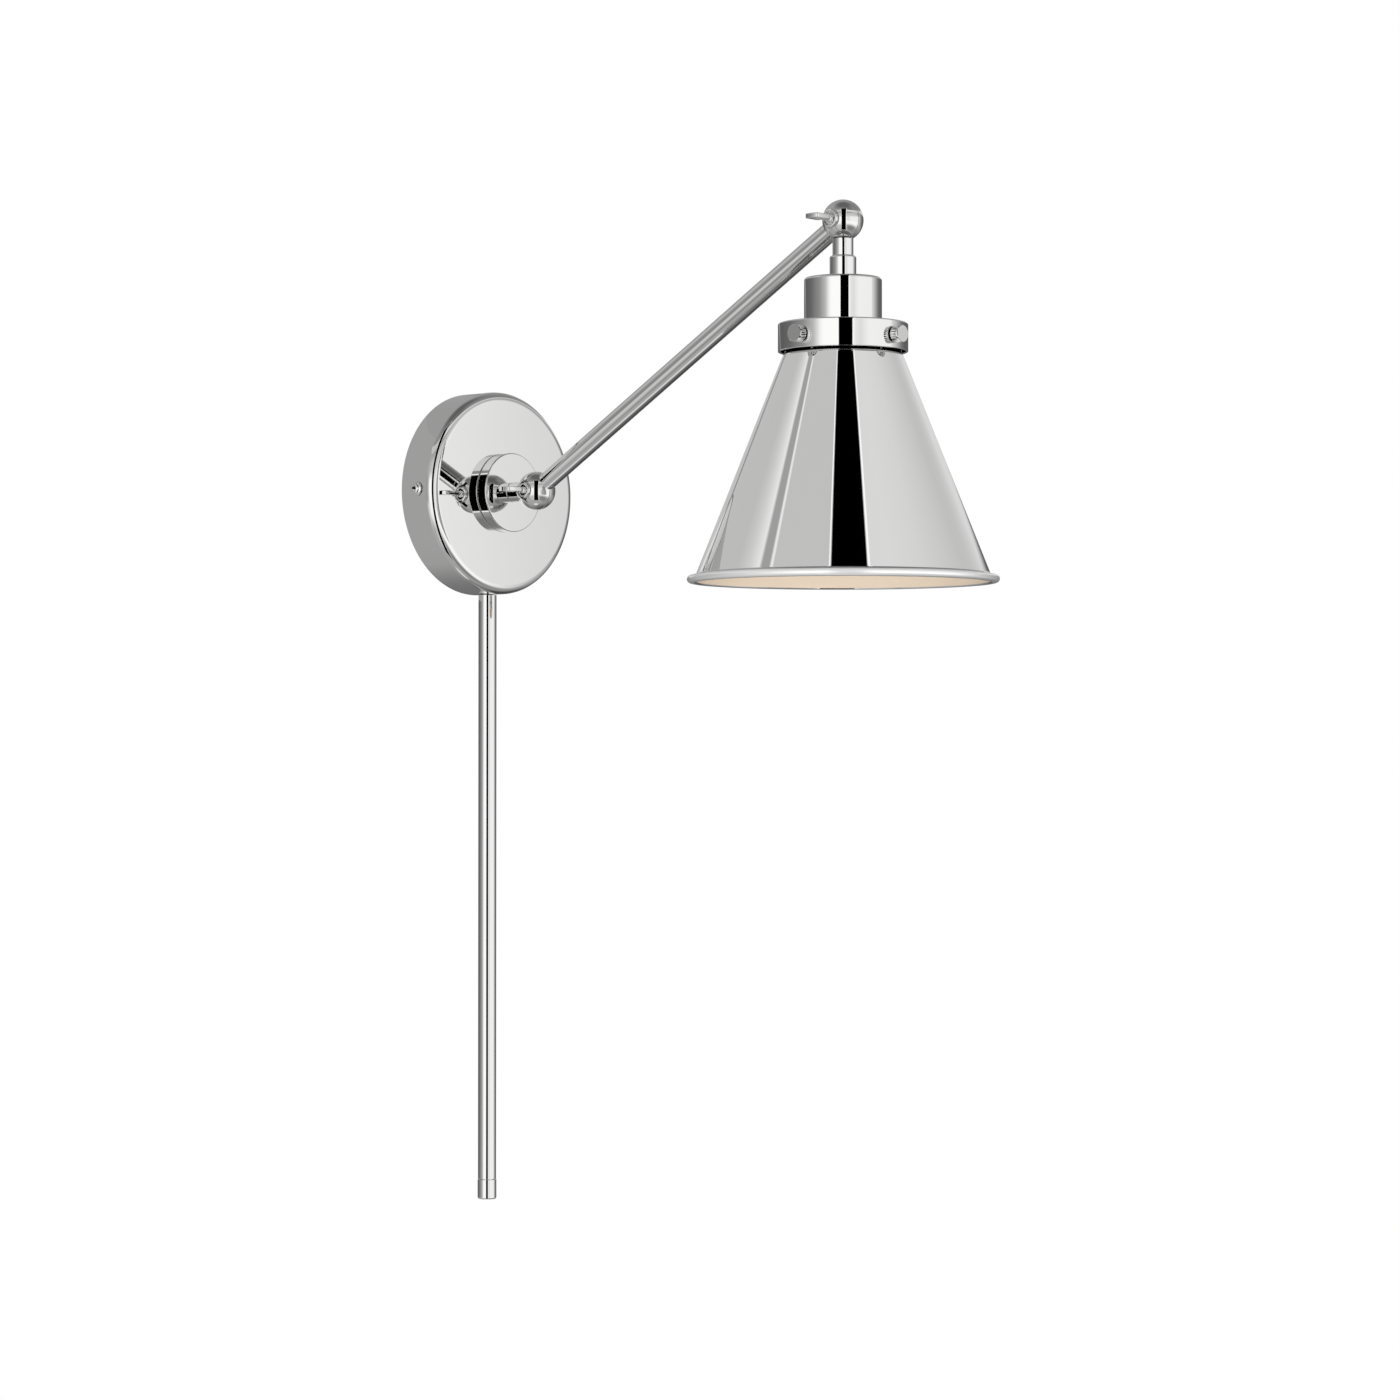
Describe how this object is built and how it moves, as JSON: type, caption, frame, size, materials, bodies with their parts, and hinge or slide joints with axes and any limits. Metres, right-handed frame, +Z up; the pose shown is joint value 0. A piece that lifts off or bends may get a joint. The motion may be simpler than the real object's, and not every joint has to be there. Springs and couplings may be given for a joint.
{
  "type": "swing arm wall sconce",
  "caption": "Wall light with a round canopy, a swivelling arm between two ball knuckles, a cone shade and a straight cord cover tube below the canopy.",
  "frame": {"origin": "centre of the canopy's back, on the wall plane, on the hub's axis", "axes": "+Z up, +Y into the wall so the arm stands out along -Y, +X completes the right-handed frame; the keys are on the -X side"},
  "size_m": [0.1728, 0.3743, 0.5719],
  "materials": {
    "polished_nickel": "polished nickel plate, mirror bright",
    "plain_steel": "zinc plated, satin",
    "green_screw": "green passivated",
    "brass": "machined, plain",
    "fibre": "pressed red fibre, matte",
    "connector_plastic": "moulded, satin",
    "wire_black": "extruded insulation",
    "wire_white": "extruded insulation",
    "bush_plastic": "moulded, satin",
    "holder_ceramic": "glazed white porcelain",
    "lamp_cap_metal": "pressed, satin",
    "lamp_opal": "opal white, satin",
    "shade_lining": "satin cream enamel"
  },
  "bodies": {
    "wall_mount": {"mounting_strap": "plain_steel", "ground_screw": "green_screw", "canopy": "polished_nickel", "canopy_screw_left": "polished_nickel", "canopy_screw_right": "polished_nickel", "stop_pin_left": "plain_steel", "stop_pin_right": "plain_steel", "thrust_washer": "fibre", "wire_connector_live": "connector_plastic", "wire_connector_neutral": "connector_plastic", "wire_live": "wire_black", "wire_neutral": "wire_white", "cord_tube_nipple": "plain_steel", "cord_tube_nut": "plain_steel", "cord_cover_tube": "polished_nickel", "cord_cover_cap": "polished_nickel", "cord_bush": "bush_plastic"},
    "hub": {"stem_knuckle": "polished_nickel", "hub_disc": "polished_nickel", "stop_washer": "plain_steel", "wave_washer": "plain_steel", "hub_lock_nut": "brass", "hub_jam_nut": "brass", "lower_knuckle_washer": "fibre", "stem_lead": "wire_black"},
    "lower_key": {"lower_key": "polished_nickel"},
    "arm": {"arm_knuckle_lower": "polished_nickel", "arm_tube": "polished_nickel", "arm_knuckle_upper": "polished_nickel", "arm_lead": "wire_black"},
    "upper_key": {"upper_key": "polished_nickel"},
    "head": {"neck_knuckle": "polished_nickel", "upper_knuckle_washer": "fibre", "neck_collar": "polished_nickel", "socket_cup": "polished_nickel", "cup_nut": "brass", "neck_lead": "wire_black", "gallery_ring": "polished_nickel", "clamp_ring": "plain_steel", "lamp_holder": "holder_ceramic", "lamp_holder_shell": "brass", "centre_contact": "brass", "lamp_cap": "lamp_cap_metal", "lamp_glass": "lamp_opal", "shade": "polished_nickel"},
    "thumbscrew_1": {"thumbscrew_1": "polished_nickel"},
    "thumbscrew_2": {"thumbscrew_2": "polished_nickel"},
    "thumbscrew_3": {"thumbscrew_3": "polished_nickel"},
    "thumbscrew_4": {"thumbscrew_4": "polished_nickel"}
  },
  "joints": [
    {"name": "hub_swivel", "type": "hinge", "parent": "wall_mount", "child": "hub", "pos_m": [0, -0.03, 0], "axis": [0, -1, 0], "range_deg": [-90, 90]},
    {"name": "lower_elbow", "type": "hinge", "parent": "hub", "child": "arm", "pos_m": [0, -0.052, 0], "axis": [-1, 0, 0], "range_deg": [-70, 60]},
    {"name": "upper_elbow", "type": "hinge", "parent": "arm", "child": "head", "pos_m": [0, -0.28733, 0.13917], "axis": [-1, 0, 0], "range_deg": [0, 180]},
    {"name": "lower_key_turn", "type": "hinge", "parent": "hub", "child": "lower_key", "pos_m": [-0.0198, -0.052, 0], "axis": [-1, 0, 0], "range_deg": [0, 180]},
    {"name": "upper_key_turn", "type": "hinge", "parent": "head", "child": "upper_key", "pos_m": [-0.0198, -0.28733, 0.13917], "axis": [-1, 0, 0], "range_deg": [0, 180]},
    {"name": "thumbscrew_1_turn", "type": "hinge", "parent": "head", "child": "thumbscrew_1", "pos_m": [0.0395, -0.28733, 0.07337], "axis": [1, 0, 0], "range_deg": [0, 360]},
    {"name": "thumbscrew_2_turn", "type": "hinge", "parent": "head", "child": "thumbscrew_2", "pos_m": [0, -0.24783, 0.07337], "axis": [0, 1, 0], "range_deg": [0, 360]},
    {"name": "thumbscrew_3_turn", "type": "hinge", "parent": "head", "child": "thumbscrew_3", "pos_m": [-0.0395, -0.28733, 0.07337], "axis": [-1, 0, 0], "range_deg": [0, 360]},
    {"name": "thumbscrew_4_turn", "type": "hinge", "parent": "head", "child": "thumbscrew_4", "pos_m": [0, -0.32683, 0.07337], "axis": [0, -1, 0], "range_deg": [0, 360]}
  ]
}
